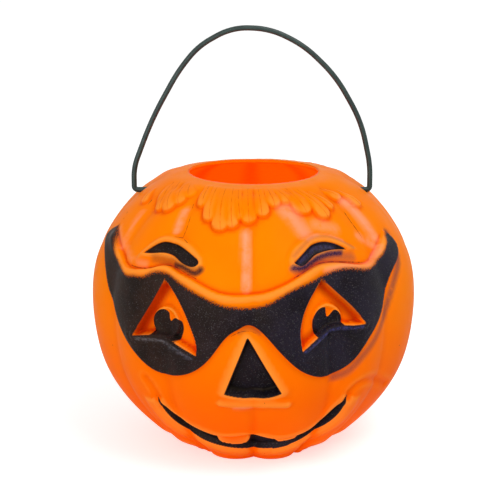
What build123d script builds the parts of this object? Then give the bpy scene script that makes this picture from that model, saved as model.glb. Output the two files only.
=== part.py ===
from build123d import *
from functools import cache
from math import atan2, cos, hypot, radians, sin, tan
import os

# A hollow moulded pumpkin pail with a masked face and a bail handle of coated wire.
# Millimetres. +Z is up, the face looks along -Y, and the origin is the middle of the flat base.

# The pumpkin
body_radius = 100.5         # over the ribs, at the widest level
body_height = 167.0         # from the base to the flat land round the mouth, under the leaves
wall = 2.0
crease_depth = 3.0          # how far the creases between the ribs lie in, at the widest level
opening_radius = 39.5       # the round hole cut in the top

# The relief of the face and the leaves, measured square to the skin
mask_rise = 2.2
brow_rise = 1.8
brow_slot_depth = 1.0
eye_depth = 3.0
pupil_depth = 1.0           # the pupils stand up from the floors of the eyes
pupil_radius = 8.3
nose_depth = 5.0
smile_depth = 4.0
tooth_depth = 0.8
leaf_rise = 1.5
calyx_radius = 56.0         # the ring of leaf stalks round the hole

# The handle
wire_radius = 1.0           # the steel core
coat_radius = 1.65          # over the vinyl coat
bore_clearance = 0.05       # radial, between the coat and the holes that it turns in
hinge_drop = 10.5           # from the land round the mouth down to the holes
handle_rise = 98.9          # from the holes to the middle of the wire at the top
left_stand_off = 6.0        # from the crease, outwards to the middle of the wire
right_stand_off = 4.0
elbow_radius = 2.2
hook_gap = 1.2              # from the coat of the hook to the wall above it
hook_length = 9.0

# The side of the pumpkin up a rib: share of the radius, share of the height, share of the crease depth
side_levels = [
    (0.517, 0.000, 2.0),
    (0.624, 0.060, 1.9),
    (0.743, 0.133, 1.6),
    (0.847, 0.214, 1.35),
    (0.941, 0.325, 1.2),
    (0.990, 0.457, 1.05),
    (1.000, 0.592, 1.0),
    (0.963, 0.718, 1.0),
    (0.879, 0.814, 0.95),
    (0.793, 0.881, 0.9),
    (0.694, 0.938, 0.85),
    (0.591, 0.975, 0.7),
    (0.475, 0.996, 0.4),
    (0.420, 1.000, 0.15),
]

# Where the creases between the ribs run down the side: degrees round from the middle of the face
crease_turns = [0, 24, 50, 90, 120, 150, 180, 210, 240, 270, 303, 329]

# Outlines of the face, seen from the front: per cent of the radius across, per cent of the height up
mask_top = [
    (-81.5, 83), (-79, 79.5), (-72.5, 74), (-65, 73.5), (-50, 76), (-31, 72.5), (-13, 69), (2, 69),
    (19, 72.5), (33, 76.5), (50, 77), (65.5, 76), (71.5, 79.5), (75.5, 83.5),
]
mask_foot = [
    (75.5, 83.5), (83.5, 77), (80, 70), (72, 57.5), (60, 46), (45, 39), (33, 39.5), (19.5, 46),
    (6, 55), (-4, 58.5), (-13, 55.5), (-25, 46.5), (-37.5, 40), (-50, 38), (-63.5, 42), (-76, 51.5),
    (-83.5, 63.5), (-87.5, 74), (-81.5, 83),
]
left_eye = [(-49.5, 71.5), (-59, 61.5), (-68, 51), (-49.5, 52.5), (-31.5, 47.5), (-36.5, 60), (-49.5, 71.5)]
right_eye = [(37.5, 72.5), (51.5, 65), (61.5, 56.5), (46.5, 57), (26.5, 49.5), (26, 60), (37.5, 72.5)]
left_pupil = (-49.5, 57.5)
right_pupil = (41.5, 59.5)
nose = [(-3.5, 54.5), (-18, 32.5), (0, 31.5), (17.5, 33)]
smile_top = [
    (-56, 27.5), (-50, 23), (-42, 18.7), (-32, 15.7), (-22, 14), (0, 13.7), (15, 13.4), (28.5, 14.5),
    (38.5, 18.5), (45, 23), (54.5, 29),
]
smile_foot = [
    (54.5, 29), (48.5, 21.5), (38.5, 15.5), (26.5, 11), (13.5, 8.4), (1, 7.2), (-12, 8), (-23, 9.5),
    (-35.5, 12.8), (-48.5, 20), (-56, 27.5),
]
teeth = [((-21.5, 8.9), (-2, 17)), ((10, 9.9), (25.5, 17))]
left_brow_top = [(-67, 77), (-59.5, 81.5), (-50, 84.5), (-40.5, 84.5), (-33.5, 82.5), (-28.5, 79.5)]
left_brow_foot = [(-28.5, 79.5), (-32, 76.5), (-44, 79.5), (-56, 79.5), (-67, 77)]
left_slot_top = [(-62.5, 79), (-50.5, 82.8), (-45, 82.8), (-31.5, 79)]
left_slot_foot = [(-31.5, 79), (-34, 77.5), (-43, 80), (-50, 81), (-62.5, 79)]
right_brow_top = [(19, 79), (21, 82.5), (33, 86), (40, 85.8), (50.5, 83), (58.5, 80.2)]
right_brow_foot = [(58.5, 80.2), (43.5, 81.6), (31.5, 79.2), (19, 79)]
right_slot_top = [(22.5, 79.2), (26, 80.7), (33, 83.4), (38.5, 84), (52, 81)]
right_slot_foot = [(52, 81), (43.5, 82.2), (36, 81.7), (22.5, 79.2)]

# Fingers of the leaves, seen from above: degrees round from the face, reach and width in per cent
leaf_fingers = [
    (-66, 72, 6), (-58.5, 73.5, 7), (-47, 76, 10), (-39, 75, 10), (-34.5, 69, 6),
    (-23.5, 72, 7), (-16, 80, 10), (-10, 81, 9), (-5.5, 78, 6), (-2, 77, 6), (3.5, 74.5, 7), (9.5, 70, 7),
    (17.5, 66.5, 7), (24.5, 74, 10), (30.5, 73, 7), (35, 77.5, 8), (41, 73.5, 5),
    (51, 71, 8), (59.5, 75, 6),
]

# The middle line of the handle's arch: share of its side's stand-off from the middle, share of the rise
left_arch = [(1.0, 0.141), (0.844, 0.441), (0.624, 0.732), (0.456, 0.886), (0.178, 1.0)]
right_arch = [(0.138, 0.992), (0.425, 0.891), (0.697, 0.704), (0.918, 0.426), (1.0, 0.155)]
bend_share = 0.45           # how much of the shorter run each gentle bend of the arch takes up

front_reach = 1.2 * body_radius
hinge_height = body_height - hinge_drop


def grown_levels(offset):
    """Radius, height and crease depth of each level, moved square to the side by offset."""
    side = [(share * body_radius, rise * body_height, deep * crease_depth) for share, rise, deep in side_levels]
    levels = []
    for here, (radius, height, crease) in enumerate(side):
        below = side[max(here - 1, 0)]
        above = side[min(here + 1, len(side) - 1)]
        out = above[1] - below[1]
        up = below[0] - above[0]
        run = hypot(out, up)
        levels.append((radius + offset * out / run, height + offset * up / run, crease))
    return levels


def on_circle(radius, turn):
    """A point at radius, turn degrees round from the middle of the face."""
    return (radius * sin(radians(turn)), -radius * cos(radians(turn)))


@cache
def ribbed_body(offset=0.0):
    """The solid pumpkin with its ribs, grown by offset all over."""
    next_turns = crease_turns[1:] + [crease_turns[0] + 360]
    with BuildPart() as body:
        for radius, height, crease in grown_levels(offset):
            with BuildSketch(Plane.XY.offset(height)):
                with BuildLine():
                    for start, end in zip(crease_turns, next_turns):
                        ThreePointArc(
                            on_circle(radius - crease, start),
                            on_circle(radius, (start + end) / 2),
                            on_circle(radius - crease, end),
                        )
                make_face()
        loft()
    return body.part


def crease_reach(height, offset=0.0):
    """How far out the crease over each end of the handle's axis lies at this height."""
    levels = grown_levels(offset)
    for (low_radius, low, low_crease), (high_radius, high, high_crease) in zip(levels, levels[1:]):
        if low <= height <= high:
            share = (height - low) / (high - low)
            return (1 - share) * (low_radius - low_crease) + share * (high_radius - high_crease)
    return levels[-1][0]


def on_face(points):
    """Points of the front view in millimetres."""
    return [(across * body_radius / 100, up * body_height / 100) for across, up in points]


def curved_outline(top, foot):
    """An outline of two smooth edges that meet in corners."""
    with BuildSketch(Plane.XZ) as outline:
        with BuildLine():
            Spline(*on_face(top))
            Spline(*on_face(foot))
        make_face()
    return outline.sketch


def straight_outline(top, foot, growth):
    """An outline through the same points in straight runs, grown all round."""
    with BuildSketch(Plane.XZ) as outline:
        with BuildLine():
            Polyline(*on_face(top))
            Polyline(*on_face(foot))
        make_face()
        offset(amount=growth)
    return outline.sketch


def eye_outline(points, growth=0.0):
    """A triangle with three bowed sides: corner, middle of a side, corner, and so round."""
    corners = on_face(points)
    with BuildSketch(Plane.XZ) as outline:
        with BuildLine():
            for start in range(0, len(corners) - 1, 2):
                ThreePointArc(*corners[start:start + 3])
        make_face()
        if growth:
            offset(amount=growth)
    return outline.sketch


def nose_outline(growth=0.0):
    """The nose: a triangle on a bowed foot."""
    tip, left, foot, right = on_face(nose)
    with BuildSketch(Plane.XZ) as outline:
        with BuildLine():
            Line(tip, left)
            ThreePointArc(left, foot, right)
            Line(right, tip)
        make_face()
        if growth:
            offset(amount=growth)
    return outline.sketch


def pupil_outline(middle):
    """The round pupil of one eye."""
    with BuildSketch(Plane.XZ) as outline:
        with Locations(*on_face([middle])):
            Circle(pupil_radius)
    return outline.sketch


def tooth_outline(corners):
    """One square tooth, with its top inside the upper lip."""
    (left, foot), (right, top) = on_face(corners)
    with BuildSketch(Plane.XZ) as outline:
        with Locations(((left + right) / 2, (foot + top) / 2)):
            RectangleRounded(right - left, top - foot, (top - foot) / 5)
    return outline.sketch


def leaf_outline():
    """The ring of stalks with the fingers of the leaves, the same in front and behind."""
    with BuildSketch(Plane.XY.offset(0.76 * body_height)) as outline:
        Circle(calyx_radius)
        for side in (0, 180):
            for around, reach, width in leaf_fingers:
                finger = width * body_radius / 100
                root = calyx_radius - finger
                tip = reach * body_radius / 100 - finger / 2
                with Locations(Rotation(0, 0, side + around - 90)):
                    with Locations(((root + tip) / 2, 0)):
                        SlotCenterToCenter(tip - root, finger)
    return outline.sketch


def raised(outline, rise):
    """A plate on the skin, inside the outline."""
    with BuildPart() as plate:
        extrude(outline, amount=front_reach)
        add(ribbed_body(rise), mode=Mode.INTERSECT)
    return plate.part


def carved(outline, depth):
    """What is cut away inside the outline, down to depth under the skin."""
    with BuildPart() as cutter:
        extrude(outline, amount=front_reach)
        add(ribbed_body(-depth), mode=Mode.SUBTRACT)
    return cutter.part


# The room inside: it follows the skin, and steps in behind each pocket of the face
with BuildPart() as inside:
    add(ribbed_body(-wall))
    split(bisect_by=Plane.XY.offset(wall), keep=Keep.TOP)
    add(carved(eye_outline(left_eye, wall), eye_depth + wall), mode=Mode.SUBTRACT)
    add(carved(eye_outline(right_eye, wall), eye_depth + wall), mode=Mode.SUBTRACT)
    add(carved(nose_outline(wall), nose_depth + wall), mode=Mode.SUBTRACT)
    add(carved(straight_outline(smile_top, smile_foot, wall), smile_depth + wall), mode=Mode.SUBTRACT)

# The moulded shell
with BuildPart() as pail_shell:
    add(ribbed_body())
    add(raised(curved_outline(mask_top, mask_foot), mask_rise))
    add(raised(curved_outline(left_brow_top, left_brow_foot), brow_rise))
    add(raised(curved_outline(right_brow_top, right_brow_foot), brow_rise))
    add(raised(leaf_outline(), leaf_rise))
    add(carved(curved_outline(left_slot_top, left_slot_foot), brow_slot_depth), mode=Mode.SUBTRACT)
    add(carved(curved_outline(right_slot_top, right_slot_foot), brow_slot_depth), mode=Mode.SUBTRACT)
    add(carved(eye_outline(left_eye), eye_depth), mode=Mode.SUBTRACT)
    add(carved(eye_outline(right_eye), eye_depth), mode=Mode.SUBTRACT)
    add(carved(nose_outline(), nose_depth), mode=Mode.SUBTRACT)
    add(carved(curved_outline(smile_top, smile_foot), smile_depth), mode=Mode.SUBTRACT)
    add(raised(pupil_outline(left_pupil), -pupil_depth))
    add(raised(pupil_outline(right_pupil), -pupil_depth))
    for corners in teeth:
        add(raised(tooth_outline(corners), -tooth_depth))
    add(inside.part, mode=Mode.SUBTRACT)
    with BuildSketch(Plane.XY.offset(body_height - 2 * wall)):
        Circle(opening_radius)
    extrude(amount=3 * wall + leaf_rise, mode=Mode.SUBTRACT)
    with BuildSketch(Plane.YZ):
        with Locations((0, hinge_height)):
            Circle(coat_radius + bore_clearance)
    extrude(amount=body_radius, both=True, mode=Mode.SUBTRACT)

# The handle's route: down a hook inside, out through its hole, over the arch and in again
left_side = crease_reach(hinge_height) + left_stand_off
right_side = crease_reach(hinge_height) + right_stand_off
hook_reach = crease_reach(hinge_height + coat_radius, -wall) - hook_gap - coat_radius
arch = [(-share * left_side, hinge_height + rise * handle_rise) for share, rise in left_arch]
arch += [(share * right_side, hinge_height + rise * handle_rise) for share, rise in right_arch]
left_end = [(-hook_reach, hinge_height - hook_length), (-hook_reach, hinge_height), (-left_side, hinge_height)]
right_end = [(right_side, hinge_height), (hook_reach, hinge_height), (hook_reach, hinge_height - hook_length)]
handle_points = left_end + arch + right_end


def gentle_bend(before, corner, after):
    """The largest radius that leaves room for the bends beside it."""
    run_in = hypot(corner[0] - before[0], corner[1] - before[1])
    run_out = hypot(after[0] - corner[0], after[1] - corner[1])
    heading_in = atan2(corner[1] - before[1], corner[0] - before[0])
    heading_out = atan2(after[1] - corner[1], after[0] - corner[0])
    turn = abs(heading_out - heading_in)
    return bend_share * min(run_in, run_out) / tan(turn / 2)


arch_bends = [gentle_bend(*handle_points[here - 1:here + 2]) for here in range(3, len(handle_points) - 3)]
handle_bends = [elbow_radius, elbow_radius] + arch_bends + [elbow_radius, elbow_radius]


def along_handle(outer, inner=0.0):
    """A round bar or tube along the whole route."""
    with BuildPart() as bar:
        with BuildLine(Plane.XZ) as route:
            FilletPolyline(*handle_points, radius=handle_bends)
        with BuildSketch(Plane(origin=route.line @ 0, z_dir=route.line % 0)):
            Circle(outer)
            if inner:
                Circle(inner, mode=Mode.SUBTRACT)
        sweep()
    return bar.part


# The steel core and its vinyl coat
with BuildPart() as handle_wire:
    add(along_handle(wire_radius))

with BuildPart() as handle_coat:
    add(along_handle(coat_radius, wire_radius))

pail_shell.part.label = "pail_shell"
handle_wire.part.label = "handle_wire"
handle_coat.part.label = "handle_coat"

os.makedirs("parts", exist_ok=True)
export_step(pail_shell.part, "parts/pail_shell.step")
export_step(handle_wire.part, "parts/handle_wire.step")
export_step(handle_coat.part, "parts/handle_coat.step")
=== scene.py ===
import math

import bpy
import numpy as np
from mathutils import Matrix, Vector


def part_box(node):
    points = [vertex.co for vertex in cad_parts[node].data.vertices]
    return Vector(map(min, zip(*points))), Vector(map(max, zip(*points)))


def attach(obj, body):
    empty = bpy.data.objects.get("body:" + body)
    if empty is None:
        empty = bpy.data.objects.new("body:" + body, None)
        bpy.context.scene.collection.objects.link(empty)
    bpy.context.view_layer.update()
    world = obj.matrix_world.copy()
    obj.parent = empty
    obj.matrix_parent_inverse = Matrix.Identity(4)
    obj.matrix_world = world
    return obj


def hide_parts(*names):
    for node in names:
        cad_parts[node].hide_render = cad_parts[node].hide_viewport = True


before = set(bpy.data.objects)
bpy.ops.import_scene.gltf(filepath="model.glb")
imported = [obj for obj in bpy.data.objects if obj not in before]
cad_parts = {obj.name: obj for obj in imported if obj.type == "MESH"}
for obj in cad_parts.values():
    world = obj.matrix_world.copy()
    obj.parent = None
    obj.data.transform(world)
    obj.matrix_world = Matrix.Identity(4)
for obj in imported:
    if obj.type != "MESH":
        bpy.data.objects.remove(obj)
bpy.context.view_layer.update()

# A moulded pumpkin pail with a black mask sprayed over its face, leaves round its mouth and a wire
# handle. The skin is worked in millimetres on a chart of the pumpkin's side: an angle round from the face
# in degrees, and a way up the side from the foot to the mouth. It is set in metres when the vertices are
# placed.

MILLIMETRE = 0.001
FAR = 12.0                  # reaches past this don't matter to any feature

body_radius = 100.5
body_height = 167.0
crease_depth = 3.0
wall = 2.0
mouth_radius = 39.5
leaf_rise = 1.5
hole_radius = 1.7
hinge_height = 156.5
crease_round = 0.25         # how much the very bottom of a crease is filled
foot_draw = 5.6             # how far the ribs round the foot are drawn in, away from the two under the chin
rim_dip = 1.4               # the rim hangs this much lower at the front than at the back
cut_edge = 2.2              # thickness of the wall where it is cut for the mouth
top_gap = 0.03              # kept free under the top of the CAD's box
paint_offset = 10.0         # added to the paint's reach, so that bare skin is stored as about 0
seam_gap = 0.000001         # metres: vertices closer than this are one
sliver = 0.000003           # metres: edges shorter than this left by the cut are dissolved

# Share of the radius, share of the height and share of the crease depth, up a rib
side_levels = np.array([
    (0.517, 0.000, 2.0), (0.624, 0.060, 1.9), (0.743, 0.133, 1.6), (0.847, 0.214, 1.35), (0.941, 0.325, 1.2),
    (0.990, 0.457, 1.05), (1.000, 0.592, 1.0), (0.963, 0.718, 1.0), (0.879, 0.814, 0.95),
    (0.793, 0.881, 0.9),
    (0.694, 0.938, 0.85), (0.591, 0.975, 0.7), (0.475, 0.996, 0.4), (0.420, 1.000, 0.15),
])

# Where the creases between the ribs run: degrees round from the face, at the foot, the belly and the mouth
crease_ways = np.array([
    (-180, -180, -180, -180), (-150, -150, -150, -150), (-120, -120, -120, -120), (-90, -90, -90, -90),
    (-58, -57, -55.5, -53), (-34, -31, -29.9, -32), (0, -0.3, -0.3, -0.4), (32, 26.4, 22.6, 21.3),
    (55, 52, 48, 45.8), (90, 90, 90, 90), (120, 120, 120, 120), (150, 150, 150, 150), (180, 180, 180, 180),
])
crease_stations = np.array([10.0, 104.0, 158.0, 184.0])


def smooth_through(places, values):
    """A natural cubic spline through the values, as a function of the place."""
    gap = np.diff(places)
    count = len(places)
    left = np.eye(count)
    right = np.zeros_like(values)
    for i in range(1, count - 1):
        left[i, i - 1:i + 2] = gap[i - 1], 2 * (gap[i - 1] + gap[i]), gap[i]
        right[i] = 6 * ((values[i + 1] - values[i]) / gap[i] - (values[i] - values[i - 1]) / gap[i - 1])
    bend = np.linalg.solve(left, right)

    def at(place):
        i = np.clip(np.searchsorted(places, place, side="right") - 1, 0, count - 2)
        h = gap[i]
        a = (places[i + 1] - place) / h
        b = (place - places[i]) / h
        if values.ndim == 2:
            a, b, h = a[:, None], b[:, None], h[:, None]
        cubic = ((a ** 3 - a) * bend[i] + (b ** 3 - b) * bend[i + 1]) * h * h / 6
        return a * values[i] + b * values[i + 1] + cubic

    return at


# The profile up a crest: radius, height, crease depth, and the way out square to it
level_side = side_levels * np.array([body_radius, body_height, crease_depth])
level_way = np.r_[0, np.cumsum(np.hypot(*np.diff(level_side[:, :2], axis=0).T))]
side_length = level_way[-1]
way_steps = np.linspace(0, side_length, 1200)
profile = smooth_through(level_way, level_side)(way_steps)
slope = np.gradient(profile[:, :2], way_steps, axis=0)
slope /= np.hypot(*slope.T)[:, None]
mouth_way = side_length + profile[-1, 0] - mouth_radius     # the flat land runs on to the edge of the hole


def up_the_side(way, column):
    """One column of the profile at each way up the side."""
    return np.interp(way, way_steps, column)


def warp(angle, way, outward):
    """Turns even rib angles into real ones (outward) or back, by the ways of the creases."""
    lines = np.stack([np.interp(way, crease_stations, line) for line in crease_ways], axis=1)
    even = np.arange(-180, 181, 30.0)
    result = np.empty_like(angle)
    source = np.broadcast_to(even, lines.shape) if outward else lines
    target = lines if outward else np.broadcast_to(even, lines.shape)
    for k in range(12):
        inside = (angle >= source[:, k]) & (angle <= source[:, k + 1])
        share = (angle - source[:, k]) / (source[:, k + 1] - source[:, k])
        value = target[:, k] + share * (target[:, k + 1] - target[:, k])
        result = np.where(inside, value, result)
    return result


def skin_radius(turn, way, angle):
    """Radius of the bare skin: turn is the place among the ribs, angle the real one round from the face."""
    crest = up_the_side(way, profile[:, 0])
    crease = crest - up_the_side(way, profile[:, 2])
    half = math.radians(15)
    across = np.radians(turn % 30) - half
    sagitta = crest - crease * math.cos(half)
    bow = (sagitta ** 2 + (crease * math.sin(half)) ** 2) / (2 * sagitta)
    middle = crest - bow
    radius = middle * np.cos(across) + np.sqrt(bow ** 2 - (middle * np.sin(across)) ** 2)
    nearness = (half - np.abs(across)) * crest
    radius += crease_round * np.exp(-(nearness / 1.1) ** 2)
    radius -= foot_draw * ease(np.abs(angle), 33, 42) * (1 - ease(way, 0, 13))
    past = np.clip(way - side_length, 0, None)
    return np.where(past > 0, crest - past, radius)


def place_on_skin(turn, way, rise):
    """Points in millimetres, at a rise square to the side."""
    angle = warp(turn, way, True)
    radius = skin_radius(turn, way, angle)
    out = np.where(way >= side_length, 0, up_the_side(way, slope[:, 1]))
    up = np.where(way >= side_length, 1, -up_the_side(way, slope[:, 0]))
    radius = radius + rise * out
    front = np.clip(np.cos(np.radians(angle)), 0, 1)
    height = up_the_side(way, profile[:, 1]) + rise * up - rim_dip * front * ease(way, 192, 212)
    across, ahead = radius * np.sin(np.radians(angle)), -radius * np.cos(np.radians(angle))
    return np.stack([across, ahead, height], axis=1)


def from_front(points):
    """Chart places of points seen from the front: millimetres across and up."""
    across, height = np.array(points, float).T
    way = np.interp(height, profile[:, 1], way_steps)
    angle = np.degrees(np.arcsin(np.clip(across / up_the_side(way, profile[:, 0]), -1, 1)))
    for _ in range(6):
        radius = skin_radius(warp(angle, way, False), way, angle)
        angle = np.degrees(np.arcsin(np.clip(across / radius, -1, 1)))
    return np.stack([angle, way], axis=1)


def along(points, spacing=0.8):
    """A smooth line through chart places, about spacing apart in millimetres."""
    points = np.asarray(points, float)
    reach = np.radians(points[:, 0]) * body_radius
    flat = np.stack([reach, points[:, 1]], axis=1)
    run = np.r_[0, np.cumsum(np.hypot(*np.diff(flat, axis=0).T))]
    if len(points) < 3:
        places = np.linspace(0, run[-1], max(2, int(run[-1] / spacing)))
        return np.stack([np.interp(places, run, points[:, 0]), np.interp(places, run, points[:, 1])], axis=1)
    places = np.linspace(0, run[-1], max(3, int(run[-1] / spacing)))
    return smooth_through(run, points)(places)


def outline(*edges):
    """A closed outline from smooth edges that meet in corners."""
    return np.concatenate([along(edge)[:-1] for edge in edges])


def reach_to(angle, way, radius, line, kind):
    """How far each place lies from a line along the skin, in millimetres.

    An outline is positive inside and negative outside. A side is positive to one side of the line and
    negative to the other.
    """
    result = np.full(len(angle), -FAR if kind == "outline" else FAR)
    margin = np.degrees(FAR / 40)
    low, high = line.min(0), line.max(0)
    near = (angle > low[0] - margin) & (angle < high[0] + margin)
    near &= (way > low[1] - FAR) & (way < high[1] + FAR)
    places = np.nonzero(near)[0]
    closed = kind == "outline"
    start = line if closed else line[:-1]
    end = np.roll(line, -1, axis=0) if closed else line[1:]
    for part in np.array_split(places, max(1, len(places) * len(start) // 3000000 + 1)):
        if not len(part):
            continue
        scale = np.radians(radius[part])[:, None]
        px, py = angle[part][:, None] * scale, way[part][:, None]
        ax, ay = start[:, 0][None] * scale, start[:, 1][None]
        bx, by = end[:, 0][None] * scale, end[:, 1][None]
        dx, dy = bx - ax, by - ay
        t = np.clip(((px - ax) * dx + (py - ay) * dy) / (dx * dx + dy * dy + 1e-9), 0, 1)
        square = (px - ax - t * dx) ** 2 + (py - ay - t * dy) ** 2
        gap = np.sqrt(square.min(1))
        if kind == "outline":
            crossing = ((ay > py) != (by > py)) & (px < ax + (py - ay) * dx / np.where(dy == 0, 1e-9, dy))
            gap = np.where(crossing.sum(1) % 2 == 1, gap, -gap)
        if kind == "side":
            nearest = square.argmin(1)
            turned = dx * (py - ay) - dy * (px - ax)
            gap = gap * np.sign(turned[np.arange(len(part)), nearest])
        result[part] = np.clip(gap, -FAR, FAR)
    return result


def ease(value, low, high):
    """A smooth step from 0 at low to 1 at high."""
    t = np.clip((value - low) / (high - low), 0, 1)
    return t * t * (3 - 2 * t)


def hump(value, middle, half):
    """A smooth hump, 1 at the middle and 0 at half to each side."""
    t = np.clip(np.abs(value - middle) / half, 0, 1)
    return (1 - t * t) ** 2


# The face, seen from the front in millimetres: the mask and its bead, eyes, nose, brows and smile
bead_edge = from_front([
    (-81.0, 140.0), (-79.7, 133.6), (-76.2, 127.6), (-73.1, 123.5), (-70.2, 122.7), (-65.3, 123.4),
    (-60, 124.6),
    (-54.8, 126.2), (-49.8, 127.4), (-43.5, 125.3), (-37.2, 123.1), (-31.1, 120.6), (-24.9, 117.9),
    (-18.8, 115.9), (-12.8, 115), (-6.8, 114.9), (2.4, 115.6), (12.5, 118.6), (19.3, 121.5), (26.1, 124.9),
    (33, 128.1), (39.9, 129.6), (50.5, 128.7), (61.4, 126.4), (67.5, 127.6), (71.6, 132.7), (75.7, 139.6),
])
mask_foot = from_front([
    (75.7, 139.6), (79.1, 137), (84.3, 129), (84.1, 123.3), (80.5, 118.3), (76.2, 110.2), (72.5, 95.9),
    (65.9, 84.4), (54.5, 70.5), (44.7, 65.5), (39.7, 64.3), (33.4, 66), (26.4, 70.2), (19.4, 76.8),
    (12.6, 84.5),
    (5.7, 92.5), (1, 96.4), (-3.7, 97.8), (-8.5, 95.6), (-12.8, 93.1), (-18.9, 86.4), (-25.1, 77.5),
    (-31.4, 70.9), (-37.7, 66.7), (-45.3, 64), (-53.6, 64.3), (-62, 68.6), (-69.8, 76.2), (-76.4, 86.3),
    (-81.1, 99.2), (-83.2, 103.5), (-86.3, 114.4), (-87.6, 122.2), (-88.2, 127.1), (-86.9, 133.6),
    (-81.0, 140.0),
])
paint_edge = from_front([
    (-80.9, 139.8), (-80.6, 134.4), (-79.9, 128.4), (-77.6, 123.4), (-74.8, 120.7), (-72.2, 118),
    (-67.2, 118.7),
    (-61.6, 119.4), (-54.8, 122.6), (-49.8, 122.8), (-43.4, 120.2), (-34.1, 115.5), (-24.9, 111.5),
    (-15.8, 108.4), (-6.8, 107.5), (-0.5, 107.5), (9.1, 110.3), (19.2, 116), (32.9, 120.8), (39.8, 123.3),
    (46.9, 125), (54, 124.7), (65, 122.8), (68.9, 125.1), (74.6, 129.2), (76.9, 136.1), (78.1, 138.4),
])
mask = outline(bead_edge, mask_foot)
mask_paint = outline(
    paint_edge,
    np.concatenate([paint_edge[-1:], mask_foot[1:-1], paint_edge[:1]]),
)
left_eye = outline(
    from_front([(-49.7, 119.2), (-56, 107.9), (-62.6, 96.6), (-68.2, 85.5)]),
    from_front([(-68.2, 85.5), (-57.6, 88), (-49.9, 88.2), (-43.6, 85.2), (-37.4, 82.2), (-31.9, 79.5)]),
    from_front([(-31.9, 79.5), (-31.8, 83.5), (-34.2, 92.9), (-38.4, 103.1), (-43.4, 112.1),
        (-49.7, 119.2)]),
)
right_eye = outline(
    from_front([(37.7, 121.2), (46.7, 112.7), (57.5, 101.5), (62.5, 93.8)]),
    from_front([(62.5, 93.8), (54, 94.4), (46.9, 95.2), (39.9, 93), (33, 88), (26.9, 82.8)]),
    from_front([(26.9, 82.8), (25.8, 93.7), (27.4, 103.3), (31.5, 112.4), (37.7, 121.2)]),
)
left_lid = from_front([(-68.2, 85.5), (-57.6, 88), (-49.9, 88.2), (-43.6, 85.2), (-37.4, 82.2),
    (-31.9, 79.5)])
right_lid = from_front([(62.5, 93.8), (54, 94.4), (46.9, 95.2), (39.9, 93), (33, 88), (26.9, 82.8)])
left_pupil = outline(
    from_front([(-57.8, 86.6), (-58.2, 95.3), (-55.6, 101.3), (-51.9, 103), (-48.7, 101)]),
    from_front([(-48.7, 101), (-47.7, 96.6), (-46.3, 98.2), (-43.6, 98.7), (-41.2, 95.4), (-42.8, 85.8)]),
    from_front([(-42.8, 85.8), (-57.8, 86.6)]),
)
right_pupil = outline(
    from_front([(35.2, 89.6), (33.7, 96), (34.6, 102), (38.2, 105.7), (41.1, 105.4)]),
    from_front([(41.1, 105.4), (42.4, 99.9), (44, 101.4), (46.3, 103.6), (49.2, 101.2), (50.2, 94.6)]),
    from_front([(50.2, 94.6), (43, 93.2), (35.2, 89.6)]),
)
left_iris = from_front([(-49.8, 95.6)])[0]
right_iris = from_front([(41.7, 98.4)])[0]
nose = outline(
    from_front([(-3.5, 90.9), (-9.8, 74.5), (-16.3, 56.8)]),
    from_front([(-16.3, 56.8), (-8, 54.6), (1, 54), (8.5, 54.8), (15.2, 57.5)]),
    from_front([(15.2, 57.5), (6.5, 73), (-3.5, 90.9)]),
)
nose_sill = from_front([(-18.6, 50.2), (-8, 49), (0, 48.8), (9, 49.2), (18.6, 49.2)])
smile_top = from_front([
    (-56.2, 45.6), (-50.3, 38.8), (-42.3, 31.6), (-32.2, 26.4), (-23.1, 23.5), (-12, 23.1),
    (-0.9, 23.9), (10.2, 21.3),
    (20, 21.6), (28.5, 23.5), (38.5, 30.2), (45.4, 38.6), (54.7, 48),
])
smile_foot = from_front([
    (54.7, 48), (49.6, 35.3), (39.4, 25.2), (27, 17.4), (13.5, 12.9), (1.2, 10.8), (-12.1, 12.2),
    (-23.6, 14.8),
    (-36.4, 20.4), (-49.3, 32.6), (-56.2, 45.6),
])
smile = outline(smile_top, smile_foot)
tooth_left = outline(
    from_front([(-22.4, 24.5), (-21.6, 19), (-19.3, 16)]),
    from_front([(-19.3, 16), (-11, 14.2), (-4.6, 14.8)]),
    from_front([(-4.6, 14.8), (-2.2, 17.8), (-1.9, 25)]),
    from_front([(-1.9, 25), (-22.4, 24.5)]),
)
tooth_right = outline(
    from_front([(9.6, 24.5), (11.6, 19.6), (14.2, 17)]),
    from_front([(14.2, 17), (20, 17.6), (24.6, 18.8)]),
    from_front([(24.6, 18.8), (26.2, 21), (26.6, 25)]),
    from_front([(26.6, 25), (9.6, 24.5)]),
)
left_brow = outline(
    from_front([(-67.6, 128.1), (-59.9, 136), (-50.3, 141.7), (-40.7, 141.2), (-33.7, 138.2),
        (-28.7, 133.2)]),
    from_front([(-28.7, 133.2), (-28.9, 128.6), (-33.6, 126.2), (-44, 128.6), (-56, 130.2), (-67.6, 128.1)]),
)
left_slot = outline(
    from_front([(-62.7, 131.6), (-56.6, 136), (-50.8, 138.7), (-45, 138.4), (-37.4, 135.7), (-31.8, 132.4)]),
    from_front([(-31.8, 132.4), (-30.8, 130.3), (-32.6, 128.6), (-36.4, 128.1), (-41.0, 129.6),
        (-45.4, 132.2),
                (-50.3, 133.2), (-56.5, 132.4), (-62.7, 131.6)]),
)
right_brow = outline(
    from_front([(18.7, 132.2), (20.8, 137.5), (26.3, 141.4), (33.3, 143.9), (40.3, 143.5), (50.9, 139),
        (58.7, 134.2)]),
    from_front([(58.7, 134.2), (46, 133.6), (36.7, 131.8), (28, 128.0), (20.5, 127.4), (18.7, 132.2)]),
)
right_slot = outline(
    from_front([(22.4, 131), (26.2, 134.2), (33.2, 139.1), (38.8, 140.1), (45.8, 138.5), (52.6, 135)]),
    from_front([(52.6, 135), (43.7, 135.6), (37, 134.5), (31.7, 131.8), (25.6, 129.2), (22.4, 131)]),
)

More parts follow.
